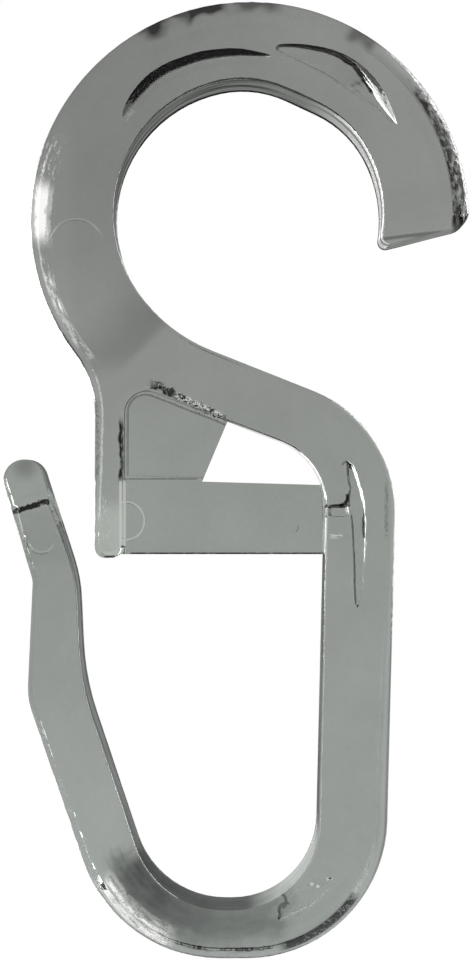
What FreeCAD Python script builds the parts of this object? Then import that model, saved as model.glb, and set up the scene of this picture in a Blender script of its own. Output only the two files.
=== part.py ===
import FreeCAD, Part
import math
import os
import re

import Sketcher
from FreeCAD import Placement, Rotation, Vector

# Curtain hook, moulded in one piece: an open eye above, a neck that runs over a shoulder into a leg,
# a bend at the bottom and a springy arm that comes up again beside a post, a crossbar and a thin web.
# The hook lies in the XZ plane with its front towards -Y. The origin is the centre of the eye.

NODE = "curtain_hook"

# Driving dimensions, in millimetres and degrees. A drop is measured down from the eye's centre, a reach
# sideways from it, and a tilt from the vertical or the horizontal. The neck's drop and the eye pin's reach
# start at the eye's edge, the post's drop at the crossbar's bottom and the crossbar pin's drop at its top.
# The rounds beside the eye have its radius, less the ease of the flat or more the ease of the neck.
# A void runs along the middle of the plastic: in the eye between two angles, at a part of the way from the
# eye's edge to its rim, and in the leg at an inset from its outer side.
SIZES = {
    "band_thickness": 2.6,
    "eye_radius": 5.05,
    "eye_flat_angle": 65.0,
    "eye_flat_depth": 0.21,
    "eye_flat_ease": 1.05,
    "rim_radius": 8.27,
    "rim_reach": 0.05,
    "rim_drop": 0.24,
    "mouth_face_tilt": 13.2,
    "mouth_face_drop": 2.28,
    "mouth_outer_round": 0.7,
    "mouth_inner_round": 0.3,
    "heel_radius": 3.7,
    "post_reach": 5.77,
    "post_width": 1.03,
    "post_drop": 0.14,
    "post_round": 0.4,
    "recess_corner_radius": 0.85,
    "neck_tilt": 21.6,
    "neck_drop": 0.2,
    "neck_width": 2.2,
    "eye_ease_radius": 0.95,
    "shoulder_outer_radius": 4.8,
    "shoulder_inner_radius": 2.65,
    "leg_reach": 5.77,
    "leg_tilt": 1.35,
    "leg_width": 2.59,
    "loop_drop": 27.92,
    "loop_band": 1.87,
    "loop_floor_length": 0.25,
    "leg_bend_outer_radius": 5.3,
    "leg_bend_inner_radius": 3.25,
    "arm_bend_outer_radius": 5.45,
    "arm_bend_inner_radius": 3.55,
    "arm_low_width": 2.08,
    "arm_reach": 7.25,
    "knee_drop": 17.88,
    "knee_width": 2.01,
    "knee_outer_radius": 2.5,
    "knee_inner_radius": 10.0,
    "elbow_drop": 13.71,
    "elbow_width": 1.63,
    "elbow_outer_radius": 1.0,
    "elbow_inner_radius": 6.0,
    "arm_top_tilt": 17.5,
    "tip_drop": 9.95,
    "tip_width": 1.55,
    "tip_step_distance": 1.05,
    "tip_step_depth": 0.26,
    "tip_step_run": 0.22,
    "tip_end_depth": 0.45,
    "crossbar_top_drop": 9.93,
    "crossbar_taper": 1.6,
    "crossbar_bottom_drop": 12.74,
    "crossbar_thickness": 1.7,
    "web_reach": 3.02,
    "web_edge_tilt": 22.9,
    "web_thickness": 0.8,
    "rim_edge_round": 0.55,
    "side_edge_round": 0.45,
    "shoulder_edge_round": 0.22,
    "post_edge_round": 0.3,
    "tip_edge_round": 0.5,
    "inner_edge_round": 0.1,
    "crossbar_fillet": 0.12,
    "web_fillet": 0.22,
    "pin_mark_depth": 0.05,
    "eye_pin_reach": 1.39,
    "eye_pin_drop": 1.25,
    "eye_pin_radius": 1.05,
    "arm_pin_drop": 12.15,
    "arm_pin_radius": 0.5,
    "crossbar_pin_drop": 1.56,
    "crossbar_pin_overhang": 0.13,
    "crossbar_pin_radius": 0.71,
    "left_void_start_angle": 82.0,
    "left_void_end_angle": 141.5,
    "left_void_share": 0.357,
    "left_void_width": 0.6,
    "right_void_start_angle": 32.0,
    "right_void_end_angle": 80.7,
    "right_void_share": 0.466,
    "right_void_width": 1.06,
    "leg_void_drop": 9.22,
    "leg_void_length": 5.55,
    "leg_void_inset": 1.33,
    "leg_void_width": 0.6,
}

doc = FreeCAD.newDocument(NODE)
sheet = doc.addObject("Spreadsheet::Sheet", "sizes")
for row, (alias, number) in enumerate(SIZES.items(), start=1):
    sheet.set(f"A{row}", alias)
    sheet.set(f"B{row}", str(number))
    sheet.setAlias(f"B{row}", alias)
doc.recompute()


def bound(formula):
    """The formula as an expression on the sheet's cells."""
    return re.sub(r"[a-z]+_[a-z_]+", r"sizes.\g<0>", formula)


def size(formula):
    """The number that a formula of named sizes gives, such as "neck_drop + neck_width"."""
    return float(sheet.evalExpression(formula))


def heading(degrees):
    return Vector(math.cos(math.radians(degrees)), math.sin(math.radians(degrees)), 0)


def left_of(direction):
    return Vector(-direction.y, direction.x, 0)


def origin_plane(body, role):
    return next(item for item in body.Origin.OriginFeatures if item.Role == role)


def new_sketch(body, name, role="XZ_Plane"):
    sketch = body.newObject("Sketcher::SketchObject", name)
    sketch.AttachmentSupport = [(origin_plane(body, role), "")]
    sketch.MapMode = "FlatFace"
    return sketch


def front_sketch(body, name, depth_formula):
    """A sketch on a plane that faces the front, this far in front of the middle plane."""
    sketch = new_sketch(body, name)
    sketch.setExpression("AttachmentOffset.Base.z", bound(depth_formula))
    return sketch


def constrain(sketch, kind, places, formula=None):
    """Adds a constraint, driven by a formula of named sizes where it has a size."""
    if formula is None:
        return sketch.addConstraint(Sketcher.Constraint(kind, *places))
    number = size(formula)
    value = math.radians(number) if kind == "Angle" else number
    index = sketch.addConstraint(Sketcher.Constraint(kind, *places, value))
    sketch.setExpression(f"Constraints[{index}]", bound(formula))
    return index


def new_pad(body, name, sketch, thickness_formula):
    pad = body.newObject("PartDesign::Pad", name)
    pad.Profile = sketch
    pad.SideType = "Symmetric"
    pad.setExpression("Length", bound(thickness_formula))
    return pad


# Places in a sketch: the ends and the centre of a line or arc, and the sketch's own root point.
START, END, CENTRE = range(1, 4)
ROOT_POINT = (-1, START)
ROOT = Vector(0, 0, 0)


class Straight:
    """A straight stretch of the outline that passes a point at a distance and runs along a heading."""

    def __init__(self, name, tilt, distance, side=1, beside=ROOT):
        self.name = name
        self.tilt = tilt
        self.distance = distance
        self.direction = heading(size(tilt))
        self.point = beside - left_of(self.direction) * side * size(distance)
        self.beside = beside

    def centre_line(self, radius):
        return self.point + left_of(self.direction) * radius

    def touch(self, centre, radius):
        return self.point + self.direction * (centre - self.point).dot(self.direction)


class Arc:
    """A round stretch with a known centre. Its radius is positive where it turns to the left."""

    def __init__(self, name, centre, radius):
        self.name = name
        self.centre = centre
        self.radius = radius

    def touch(self, centre, radius):
        outwards = (centre - self.centre).normalize()
        if self.radius * radius > 0 and abs(radius) > abs(self.radius):
            outwards = outwards * -1
        return self.centre + outwards * abs(self.radius)


def round_between(before, after, radius, early=False):
    """Centre of the arc of this signed radius that touches two neighbouring stretches.

    A line and an arc leave two such places along the line, and early takes the one met first.
    """
    if isinstance(before, Straight) and isinstance(after, Straight):
        start = before.centre_line(radius)
        gap = after.centre_line(radius) - start
        along = before.direction
        across = after.direction
        travel = (gap.x * across.y - gap.y * across.x) / (along.x * across.y - along.y * across.x)
        return start + along * travel
    line, arc = (before, after) if isinstance(before, Straight) else (after, before)
    start = line.centre_line(radius)
    offset = start - arc.centre
    spread = arc.radius - radius
    half = offset.dot(line.direction)
    root = math.sqrt(half * half - offset.dot(offset) + spread * spread)
    return start + line.direction * (-root - half if early else root - half)


# Key points of the arm: the knee, the elbow above it and the centre of the rounded tip.
KNEE = Vector(-size("arm_reach"), -size("knee_drop"), 0)
ELBOW = Vector(-size("arm_reach"), -size("elbow_drop"), 0)
TIP_REACH = "arm_reach + (elbow_drop - tip_drop) * tan(arm_top_tilt * 1deg)"
TIP = Vector(-size(TIP_REACH), -size("tip_drop"), 0)


class Leaning(Straight):
    """A side of the arm below the knee, which leans until its inner side touches the loop's bend."""

    def __init__(self, name, degrees):
        self.name = name
        self.distance = "arm_low_width / 2"
        self.direction = heading(degrees)
        self.point = KNEE - left_of(self.direction) * size(self.distance)


def arm_lean(leg_inner, loop_floor):
    """How far the arm leans below the knee, in degrees from the vertical."""
    leg_bend = round_between(leg_inner, loop_floor, -size("leg_bend_inner_radius"))
    radius = size("arm_bend_inner_radius")
    bend = Vector(leg_bend.x - size("loop_floor_length"), loop_floor.point.y + radius, 0)
    across = bend - KNEE
    reach = math.acos(size("arm_low_width / 2 + arm_bend_inner_radius") / across.Length)
    return math.degrees(math.atan2(across.y, across.x) + reach)


class Tapered(Straight):
    """The arm's side between knee and elbow, given by the corner that it would have at each."""

    def __init__(self, name, upwards):
        side = 1 if upwards else -1
        self.name = name
        self.corners = []
        for drop, width in (("knee_drop", "knee_width"), ("elbow_drop", "elbow_width")):
            self.corners.append((f"-arm_reach + {side} * {width} / 2", f"-{drop}"))
        low, high = [Vector(size(x), size(z), 0) for x, z in self.corners]
        self.point = low
        self.direction = (high - low).normalize() * side


def band_stretches():
    """The band's outline, anticlockwise: each stretch, and the radius and turn of the round after it."""
    tip_half = "tip_width / 2"
    neck_top = "eye_radius + neck_drop"
    leg_inner = Straight("leg_inner", "-90 - leg_tilt", "leg_reach - leg_width", -1)
    loop_floor = Straight("loop_floor", "180", "loop_drop - loop_band", -1)
    lean = arm_lean(leg_inner, loop_floor)
    rim_centre = Vector(size("rim_reach"), -size("rim_drop"), 0)
    flat_distance = "eye_radius - eye_flat_depth"
    flat_round = "eye_radius - eye_flat_ease"
    return [
        (Straight("mouth_face", "mouth_face_tilt", "mouth_face_drop"), "mouth_outer_round", 1),
        (Arc("rim", rim_centre, size("rim_radius")), "heel_radius", -1),
        (Straight("post_outer", "-90", "post_reach"), "post_round", 1),
        (Straight("post_foot", "0", "crossbar_bottom_drop + post_drop"), "post_round", 1),
        (Straight("post_inner", "90", "post_reach - post_width", -1), "recess_corner_radius", -1),
        (Straight("neck_lower", "-neck_tilt", f"{neck_top} + neck_width"), "shoulder_inner_radius", -1),
        (leg_inner, "leg_bend_inner_radius", -1),
        (loop_floor, "arm_bend_inner_radius", -1),
        (Leaning("arm_low_inner", 90 + lean), "knee_inner_radius", -1),
        (Tapered("arm_mid_inner", True), "elbow_inner_radius", 1),
        (Straight("arm_top_inner", "90 + arm_top_tilt", tip_half, 1, TIP), None, 1),
        (Arc("tip", TIP, size(tip_half)), None, 1),
        (Straight("arm_top_outer", "-90 + arm_top_tilt", tip_half, 1, TIP), "elbow_outer_radius", -1),
        (Tapered("arm_mid_outer", False), "knee_outer_radius", 1),
        (Leaning("arm_low_outer", -90 + lean), "arm_bend_outer_radius", 1),
        (Straight("loop_bottom", "0", "loop_drop"), "leg_bend_outer_radius", 1),
        (Straight("leg_outer", "90 - leg_tilt", "leg_reach"), "shoulder_outer_radius", 1),
        (Straight("neck_upper", "180 - neck_tilt", neck_top, -1), "eye_radius + eye_ease_radius", -1),
        (Arc("eye", ROOT, -size("eye_radius")), flat_round, -1),
        (Straight("eye_flat", "eye_flat_angle - 90", flat_distance, -1), flat_round, -1),
        (Arc("eye_mouth", ROOT, -size("eye_radius")), "mouth_inner_round", 1),
    ]


# Stretches whose round takes the earlier of its two possible places.
EARLY_ROUNDS = ("neck_upper", "eye")


class Piece:
    """One line or arc of the outline, with its ends in the order of the outline."""

    def __init__(self, stretch, start, end, centre=None, radius=0.0, formula=None):
        self.stretch = stretch
        self.start = start
        self.end = end
        self.centre = centre
        self.radius = radius
        self.formula = formula

    def geometry(self):
        """The sketch's line or arc. A sketch arc runs anticlockwise, whichever way it turns here."""
        if self.centre is None:
            return Part.LineSegment(self.start, self.end)
        ends = (self.start, self.end) if self.radius > 0 else (self.end, self.start)
        angles = [math.atan2(end.y - self.centre.y, end.x - self.centre.x) for end in ends]
        circle = Part.Circle(self.centre, Vector(0, 0, 1), abs(self.radius))
        return Part.ArcOfCircle(circle, *angles)

    def ends(self):
        return (END, START) if self.radius < 0 else (START, END)


def outline_pieces(stretches):
    """The outline's lines and arcs in order, each ending where the next one starts."""
    joints = []
    for index, (stretch, formula, turn) in enumerate(stretches):
        after = stretches[(index + 1) % len(stretches)][0]
        if formula is None:
            line, arc = (after, stretch) if isinstance(stretch, Arc) else (stretch, after)
            point = line.touch(arc.centre, arc.radius)
            joints.append((point, point, None, 0.0, None))
            continue
        radius = turn * size(formula)
        centre = round_between(stretch, after, radius, stretch.name in EARLY_ROUNDS)
        joints.append((stretch.touch(centre, radius), after.touch(centre, radius), centre, radius, formula))
    pieces = []
    for index, (end, after, centre, radius, formula) in enumerate(joints):
        stretch = stretches[index][0]
        start = joints[index - 1][1]
        if isinstance(stretch, Arc):
            pieces.append(Piece(stretch, start, end, stretch.centre, stretch.radius))
        else:
            pieces.append(Piece(stretch, start, end))
        if formula:
            pieces.append(Piece(stretch, end, after, centre, radius, formula))
    return pieces


def constrain_centre(sketch, place, x_formula, z_formula):
    constrain(sketch, "DistanceX", (*ROOT_POINT, *place), x_formula)
    constrain(sketch, "DistanceY", (*ROOT_POINT, *place), z_formula)


def sketch_band(body, pieces):
    """The band's outline, tangent all round and fixed by the named sizes."""
    sketch = new_sketch(body, "band_outline")
    sketch.addGeometry([piece.geometry() for piece in pieces], False)
    for index, piece in enumerate(pieces):
        after = (index + 1) % len(pieces)
        joint = (index, piece.ends()[1], after, pieces[after].ends()[0])
        constrain(sketch, "Tangent", joint)
    knee = sketch.addGeometry(Part.Point(KNEE), True)
    constrain_centre(sketch, (knee, START), "-arm_reach", "-knee_drop")
    for index, piece in enumerate(pieces):
        stretch = piece.stretch
        if piece.formula:
            constrain(sketch, "Radius", (index,), piece.formula)
        elif stretch.name == "rim":
            constrain(sketch, "Radius", (index,), "rim_radius")
            constrain_centre(sketch, (index, CENTRE), "rim_reach", "-rim_drop")
        elif stretch.name in ("eye", "eye_mouth"):
            constrain(sketch, "Radius", (index,), "eye_radius")
            constrain(sketch, "Coincident", (index, CENTRE, *ROOT_POINT))
        elif stretch.name == "tip":
            constrain(sketch, "Radius", (index,), "tip_width / 2")
            constrain_centre(sketch, (index, CENTRE), f"-({TIP_REACH})", "-tip_drop")
        elif isinstance(stretch, Tapered):
            for x_formula, z_formula in stretch.corners:
                corner = sketch.addGeometry(Part.Point(Vector(size(x_formula), size(z_formula), 0)), True)
                constrain_centre(sketch, (corner, START), x_formula, z_formula)
                constrain(sketch, "PointOnObject", (corner, START, index))
        elif isinstance(stretch, Leaning):
            constrain(sketch, "Distance", (knee, START, index), stretch.distance)
        else:
            constrain(sketch, "Angle", (index,), stretch.tilt)
            if stretch.beside is ROOT:
                constrain(sketch, "Distance", (*ROOT_POINT, index), stretch.distance)
    names = [None if piece.formula else piece.stretch.name for piece in pieces]
    constrain(sketch, "Parallel", (names.index("arm_low_inner"), names.index("arm_low_outer")))
    constrain(sketch, "Distance", (names.index("loop_floor"),), "loop_floor_length")
    return sketch


# Rounding of the front and back edges, where it differs from the small round of the inner edges:
# the size at the start and at the end of a stretch and of the round that follows it.
EDGE_ROUNDS = {
    "mouth_face": ("inner_edge_round", "rim_edge_round", "rim_edge_round"),
    "rim": ("rim_edge_round", "rim_edge_round", "rim_edge_round"),
    "post_outer": ("rim_edge_round", "post_edge_round", "post_edge_round"),
    "post_foot": ("post_edge_round", "post_edge_round", "post_edge_round"),
    "post_inner": ("post_edge_round", "inner_edge_round", "inner_edge_round"),
    "arm_top_inner": ("inner_edge_round", "tip_edge_round", "tip_edge_round"),
    "tip": ("tip_edge_round", "tip_edge_round", "tip_edge_round"),
    "arm_top_outer": ("tip_edge_round", "inner_edge_round", "inner_edge_round"),
    "arm_low_outer": ("inner_edge_round", "side_edge_round", "side_edge_round"),
    "loop_bottom": ("side_edge_round", "side_edge_round", "side_edge_round"),
    "leg_outer": ("side_edge_round", "shoulder_edge_round", "shoulder_edge_round"),
    "neck_upper": ("shoulder_edge_round", "inner_edge_round", "inner_edge_round"),
}
PLAIN_EDGE = ("inner_edge_round", "inner_edge_round", "inner_edge_round")
TOLERANCE = 1e-4


def edge_round(piece):
    """Rounding radius of a piece's edges at its start and at its end."""
    start, end, after = EDGE_ROUNDS.get(piece.stretch.name, PLAIN_EDGE)
    return (size(end), size(after)) if piece.formula else (size(start), size(end))


def in_plane(point, depth):
    """A point of the XZ outline, at this depth along Y."""
    return Vector(point.x, depth, point.y)


def round_edges(base, pieces):
    """Rounds the band's front and back edges, with radii that grow and shrink along the outline."""
    half = size("band_thickness / 2")
    rounds = []
    for number, edge in enumerate(base.Shape.Edges, start=1):
        first = edge.valueAt(edge.FirstParameter)
        last = edge.valueAt(edge.LastParameter)
        for piece in pieces:
            for depth in (-half, half):
                start = in_plane(piece.start, depth)
                end = in_plane(piece.end, depth)
                start_round, end_round = edge_round(piece)
                if first.isEqual(start, TOLERANCE) and last.isEqual(end, TOLERANCE):
                    rounds.append((number, start_round, end_round))
                elif first.isEqual(end, TOLERANCE) and last.isEqual(start, TOLERANCE):
                    rounds.append((number, end_round, start_round))
    fillet = doc.addObject("Part::Fillet", "rounded_band")
    fillet.Base = base
    fillet.Edges = rounds
    return fillet


def build_band(pieces):
    """The flat band with its full outline."""
    body = doc.addObject("PartDesign::Body", "band")
    new_pad(body, "band_pad", sketch_band(body, pieces), "band_thickness")
    return body


def pin_mark(name, x_formula, z_formula, radius_formula):
    """The shallow round mark that an ejector pin of the mould leaves in the band's front."""
    mark = doc.addObject("Part::Cylinder", name)
    mark.Placement = Placement(Vector(), Rotation(Vector(1, 0, 0), -90))
    mark.setExpression("Radius", bound(radius_formula))
    mark.setExpression("Height", bound("2 * pin_mark_depth"))
    mark.setExpression("Placement.Base.x", bound(x_formula))
    mark.setExpression("Placement.Base.y", bound("-band_thickness / 2 - pin_mark_depth"))
    mark.setExpression("Placement.Base.z", bound(z_formula))
    return mark


def build_pin_marks():
    """The marks on the eye and on the arm."""
    arm_pin_reach = "arm_reach + (elbow_drop - arm_pin_drop) * tan(arm_top_tilt * 1deg)"
    marks = doc.addObject("Part::MultiFuse", "pin_marks")
    marks.Shapes = [
        pin_mark("eye_pin_mark", "-(eye_radius + eye_pin_reach)", "-eye_pin_drop", "eye_pin_radius"),
        pin_mark("arm_pin_mark", f"-({arm_pin_reach})", "-arm_pin_drop", "arm_pin_radius"),
    ]
    return marks


# Sections of a void: how far along it each lies, and its share of the void's full width.
VOID_SECTIONS = [(0.0, 0.12), (0.15, 0.62), (0.5, 1.0), (0.85, 0.62), (1.0, 0.12)]


def void_loft(name, section_place, width):
    """A void that the plastic left as it shrank, as a loft through round sections along its path."""
    sections = []
    for number, (part, share) in enumerate(VOID_SECTIONS, start=1):
        x_formula, z_formula, turn_formula = section_place(part)
        ring = doc.addObject("Part::Circle", f"{name}_section_{number}")
        ring.Placement = Placement(Vector(), Rotation(Vector(0, -1, 0), 1))
        ring.setExpression("Radius", bound(f"{share} * {width} / 2"))
        ring.setExpression("Placement.Base.x", bound(x_formula))
        ring.setExpression("Placement.Base.z", bound(z_formula))
        ring.setExpression("Placement.Rotation.Angle", bound(turn_formula))
        sections.append(ring)
    loft = doc.addObject("Part::Loft", name)
    loft.Sections = sections
    loft.Solid = True
    return loft


def eye_void(side):
    """A void in the eye's band, on an arc about the eye's centre."""
    radius = f"(eye_radius + {side}_void_share * (rim_radius - eye_radius))"

    def section_place(part):
        angle = f"({side}_void_start_angle + {part} * ({side}_void_end_angle - {side}_void_start_angle))"
        return f"{radius} * cos({angle} * 1deg)", f"{radius} * sin({angle} * 1deg)", angle

    return void_loft(f"{side}_void", section_place, f"{side}_void_width")


def leg_void():
    """The void in the leg, along its outer side."""

    def section_place(part):
        drop = f"(leg_void_drop + {part} * leg_void_length)"
        side = f"leg_reach / cos(leg_tilt * 1deg) - {drop} * tan(leg_tilt * 1deg)"
        return f"{side} - leg_void_inset", f"-{drop}", "180 - leg_tilt"

    return void_loft("leg_void", section_place, "leg_void_width")


def add_polygon(sketch, corners):
    """Adds a closed outline through corners, each given by a formula for either coordinate."""
    first = sketch.GeometryCount
    count = len(corners)
    points = [Vector(size(across), size(up), 0) for across, up in corners]
    for index, point in enumerate(points):
        sketch.addGeometry(Part.LineSegment(point, points[(index + 1) % count]), False)
    for index, (across, up) in enumerate(corners):
        constrain(sketch, "Coincident", (first + (index - 1) % count, END, first + index, START))
        constrain_centre(sketch, (first + index, START), across, up)


def cut_bar_pin_mark(body, x_formula, z_formula):
    """The ejector pin's mark in the crossbar's front, of which the post hides a part."""
    sketch = front_sketch(body, "crossbar_pin_outline", "crossbar_thickness / 2")
    centre = Vector(size(x_formula), size(z_formula), 0)
    circle = sketch.addGeometry(Part.Circle(centre, Vector(0, 0, 1), size("crossbar_pin_radius")), False)
    constrain(sketch, "Radius", (circle,), "crossbar_pin_radius")
    constrain_centre(sketch, (circle, CENTRE), x_formula, z_formula)
    pocket = body.newObject("PartDesign::Pocket", "crossbar_pin_mark")
    pocket.Profile = sketch
    pocket.setExpression("Length", bound("pin_mark_depth"))
    doc.recompute()
    if not pocket.Shape.Volume < pocket.BaseFeature.Shape.Volume:
        raise RuntimeError("the crossbar's ejector mark cuts nothing")


def build_brace():
    """The crossbar between post and leg, and the thin web that fills the corner above it."""
    body = doc.addObject("PartDesign::Body", "brace")
    post_middle = "-(post_reach - post_width / 2)"
    post_side = "-(post_reach - post_width)"
    leg_middle = "leg_reach - leg_width / 2"
    bar_slope = "tan(crossbar_taper * 1deg)"
    bar_corners = [
        (post_middle, "-crossbar_bottom_drop"),
        (leg_middle, "-crossbar_bottom_drop"),
        (leg_middle, f"-crossbar_top_drop - ({leg_middle} - ({post_side})) * {bar_slope}"),
        (post_middle, f"-crossbar_top_drop - ({post_middle} - ({post_side})) * {bar_slope}"),
    ]
    bar = new_sketch(body, "crossbar_outline")
    add_polygon(bar, bar_corners)
    new_pad(body, "crossbar", bar, "crossbar_thickness")
    bar_middle = "(crossbar_top_drop + crossbar_bottom_drop) / 2"
    edge_slope = "tan(web_edge_tilt * 1deg)"
    neck_slope = "tan(neck_tilt * 1deg)"
    neck_level = "(eye_radius + neck_drop + neck_width / 2) / cos(neck_tilt * 1deg)"
    foot_x = f"({post_side} + web_reach - ({bar_middle} - crossbar_top_drop) * {edge_slope})"
    rise = f"(({bar_middle} - {neck_level} - {foot_x} * {neck_slope}) / (1 + {edge_slope} * {neck_slope}))"
    web_corners = [
        (post_middle, f"-{bar_middle}"),
        (foot_x, f"-{bar_middle}"),
        (f"{foot_x} + {rise} * {edge_slope}", f"-{bar_middle} + {rise}"),
        (post_middle, f"-{neck_level} - ({post_middle}) * {neck_slope}"),
    ]
    web = new_sketch(body, "web_outline")
    add_polygon(web, web_corners)
    new_pad(body, "web", web, "web_thickness")
    cut_bar_pin_mark(body, f"{post_side} + crossbar_pin_overhang", "-crossbar_top_drop - crossbar_pin_drop")
    return body


def on_face(edge, half_thickness):
    """Whether an edge lies in the front or back plane of a piece of this half thickness."""
    return all(abs(abs(vertex.Y) - half_thickness) < TOLERANCE for vertex in edge.Vertexes)


def fillet_brace(base):
    """Fillets in the inside corners where the crossbar and the web meet the band."""
    bar_half = size("crossbar_thickness / 2")
    web_half = size("web_thickness / 2")
    edge_along = heading(90 - size("web_edge_tilt"))
    rounds = []
    for number, edge in enumerate(base.Shape.Edges, start=1):
        if len(edge.Vertexes) != 2:
            continue
        along = edge.Vertexes[1].Point - edge.Vertexes[0].Point
        across = abs(along.normalize().dot(in_plane(edge_along, 0)))
        if on_face(edge, bar_half) and abs(along.z) > abs(along.x):
            rounds.append((number, size("crossbar_fillet"), size("crossbar_fillet")))
        elif on_face(edge, web_half) and across < 1 - TOLERANCE and abs(along.y) < TOLERANCE:
            rounds.append((number, size("web_fillet"), size("web_fillet")))
    fillet = doc.addObject("Part::Fillet", "braced_band")
    fillet.Base = base
    fillet.Edges = rounds
    return fillet


def build_tip_relief():
    """What is taken off the front and back of the arm's tip: a short ramp, then a falling nose."""
    body = doc.addObject("PartDesign::Body", "tip_relief")
    sketch = new_sketch(body, "tip_profile", "YZ_Plane")
    face = "band_thickness / 2"
    beyond = "tip_width"
    profile = [
        (f"{face} + tip_step_depth", "-tip_step_distance - tip_step_run"),
        (f"{face} - tip_step_depth", "-tip_step_distance + tip_step_run"),
        (f"{face} - tip_end_depth", beyond),
        (f"{face} + tip_step_depth", beyond),
    ]
    for side in (1, -1):
        add_polygon(sketch, [(f"{side} * ({depth})", up) for depth, up in profile])
    new_pad(body, "tip_relief_pad", sketch, "2 * tip_width")
    body.Placement = Placement(in_plane(TIP, 0), Rotation(Vector(0, -1, 0), size("arm_top_tilt")))
    body.setExpression("Placement.Base.x", bound(f"-({TIP_REACH})"))
    body.setExpression("Placement.Base.z", bound("-tip_drop"))
    body.setExpression("Placement.Rotation.Angle", bound("arm_top_tilt"))
    return body


def check(item):
    """Stops the build where an object failed or has no valid shape."""
    faults = {"Invalid", "Error"}.intersection(item.State)
    if faults:
        raise RuntimeError(f"{item.Label}: {sorted(faults)}")
    if hasattr(item, "Shape") and (item.Shape.isNull() or not item.Shape.isValid()):
        raise RuntimeError(f"{item.Label}: no valid shape")


def main():
    pieces = outline_pieces(band_stretches())
    band = build_band(pieces)
    brace = build_brace()
    relief = build_tip_relief()
    marks = build_pin_marks()
    voids = doc.addObject("Part::Compound", "voids")
    voids.Links = [eye_void("left"), eye_void("right"), leg_void()]
    doc.recompute()
    rounded = round_edges(band, pieces)
    joined = doc.addObject("Part::Fuse", "band_and_brace")
    joined.Base = rounded
    joined.Tool = brace
    doc.recompute()
    braced = fillet_brace(joined)
    relieved = doc.addObject("Part::Cut", "relieved_band")
    relieved.Base = braced
    relieved.Tool = relief
    marked = doc.addObject("Part::Cut", "marked_band")
    marked.Base = relieved
    marked.Tool = marks
    hook = doc.addObject("Part::Cut", "hook")
    hook.Base = marked
    hook.Tool = voids
    hook.Label = NODE
    doc.recompute()
    for item in doc.Objects:
        check(item)
    shape = hook.Shape
    print(f"{NODE}: {len(shape.Solids)} solid, {shape.Volume:.2f} mm3, {len(shape.Faces)} faces")
    os.makedirs("parts", exist_ok=True)
    shape.exportStep(f"parts/{hook.Label}.step")


main()
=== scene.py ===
import math
from collections import namedtuple

import bmesh
import bpy
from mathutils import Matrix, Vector, noise


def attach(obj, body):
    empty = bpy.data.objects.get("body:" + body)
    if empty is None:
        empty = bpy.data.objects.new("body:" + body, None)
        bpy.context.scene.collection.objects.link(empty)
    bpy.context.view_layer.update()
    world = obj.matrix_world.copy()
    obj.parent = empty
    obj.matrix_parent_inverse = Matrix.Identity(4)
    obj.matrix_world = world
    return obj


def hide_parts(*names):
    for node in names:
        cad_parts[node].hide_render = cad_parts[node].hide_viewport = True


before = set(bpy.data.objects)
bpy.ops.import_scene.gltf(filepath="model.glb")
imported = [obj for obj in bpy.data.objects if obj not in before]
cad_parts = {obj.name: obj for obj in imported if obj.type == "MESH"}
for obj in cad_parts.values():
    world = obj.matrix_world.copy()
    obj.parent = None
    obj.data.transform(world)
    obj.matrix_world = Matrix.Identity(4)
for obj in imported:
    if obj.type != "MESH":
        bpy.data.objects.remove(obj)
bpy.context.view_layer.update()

MM = 0.001
PER_MM = 1000.0
NODE = "curtain_hook"

# The photograph: its frame, the pixel where the eye's centre lies, and the real size of a pixel there.
FRAME_WIDTH = 470
FRAME_HEIGHT = 960
EYE_PIXEL = (248.1, 218.1)
PIXEL = 0.038 * MM
CAMERA_DISTANCE = 77.8 * MM
SENSOR = 36.0
NEAREST_SEEN = CAMERA_DISTANCE / 100

# The plastic: its index of refraction, the index of walls and edges of which only the colour shows,
# the colour of its clear places, which are painted highlights, and its smoke tint at heights in mm.
IOR = 1.5
PLAIN_IOR = 1.0
HIGHLIGHT_COLOUR = (1, 1, 0.97, 1)
TINT_BY_HEIGHT = [
    (-27.0, (0.327, 0.353, 0.336)),
    (-20.0, (0.316, 0.337, 0.320)),
    (-11.0, (0.298, 0.318, 0.298)),
    (-5.0, (0.270, 0.283, 0.268)),
    (1.0, (0.217, 0.225, 0.213)),
    (8.0, (0.229, 0.236, 0.226)),
]
WALL_ROUGHNESS = 0.10

# The order of the materials on the hook.
CLEAR, VOID, INNER, SOFT = range(4)

# Centres of round parts, as x and z in mm. Angles are in degrees, from the right unless they say FROM_LEFT.
EYE_CENTRE = (0.0, 0.0)
LEFT_RIM_CENTRE = (0.05, -0.24)
BEND_CENTRE = (-0.86, -22.5)
FROM_LEFT = -1

# Shapes of marks: ranges of two values or of angle and radius, each with the width of its soft border.
Box = namedtuple("Box", "first second soft_first soft_second")
Arc = namedtuple("Arc", "centre angles radii soft_angle soft_radius")

# The upper border of the web: a point on it and its slope in degrees.
WEB_BORDER = ((-2.14, -7.05), -25.0)
# The crease under the tip of the arm and the edge of the mouth, in the same way.
CREASE_LINE = ((-8.12, -10.93), 17.1)
MOUTH_LINE = ((6.32, -0.78), 7.4)


def node(tree, kind, inputs=None, **settings):
    """A new node with its settings, and with values or links on its inputs."""
    made = tree.nodes.new(kind)
    for name, value in settings.items():
        setattr(made, name, value)
    for place, value in (inputs or {}).items():
        if isinstance(value, bpy.types.NodeSocket):
            tree.links.new(value, made.inputs[place])
        else:
            made.inputs[place].default_value = value
    return made


def calc(tree, operation, *values):
    return node(tree, "ShaderNodeMath", dict(enumerate(values)), operation=operation).outputs[0]


def add_scaled(tree, value, scale, base):
    return calc(tree, "MULTIPLY_ADD", value, scale, base)


def times(tree, *values):
    product = values[0]
    for value in values[1:]:
        product = calc(tree, "MULTIPLY", product, value)
    return product


def highest(tree, *values):
    top = values[0]
    for value in values[1:]:
        top = calc(tree, "MAXIMUM", top, value)
    return top


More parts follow.
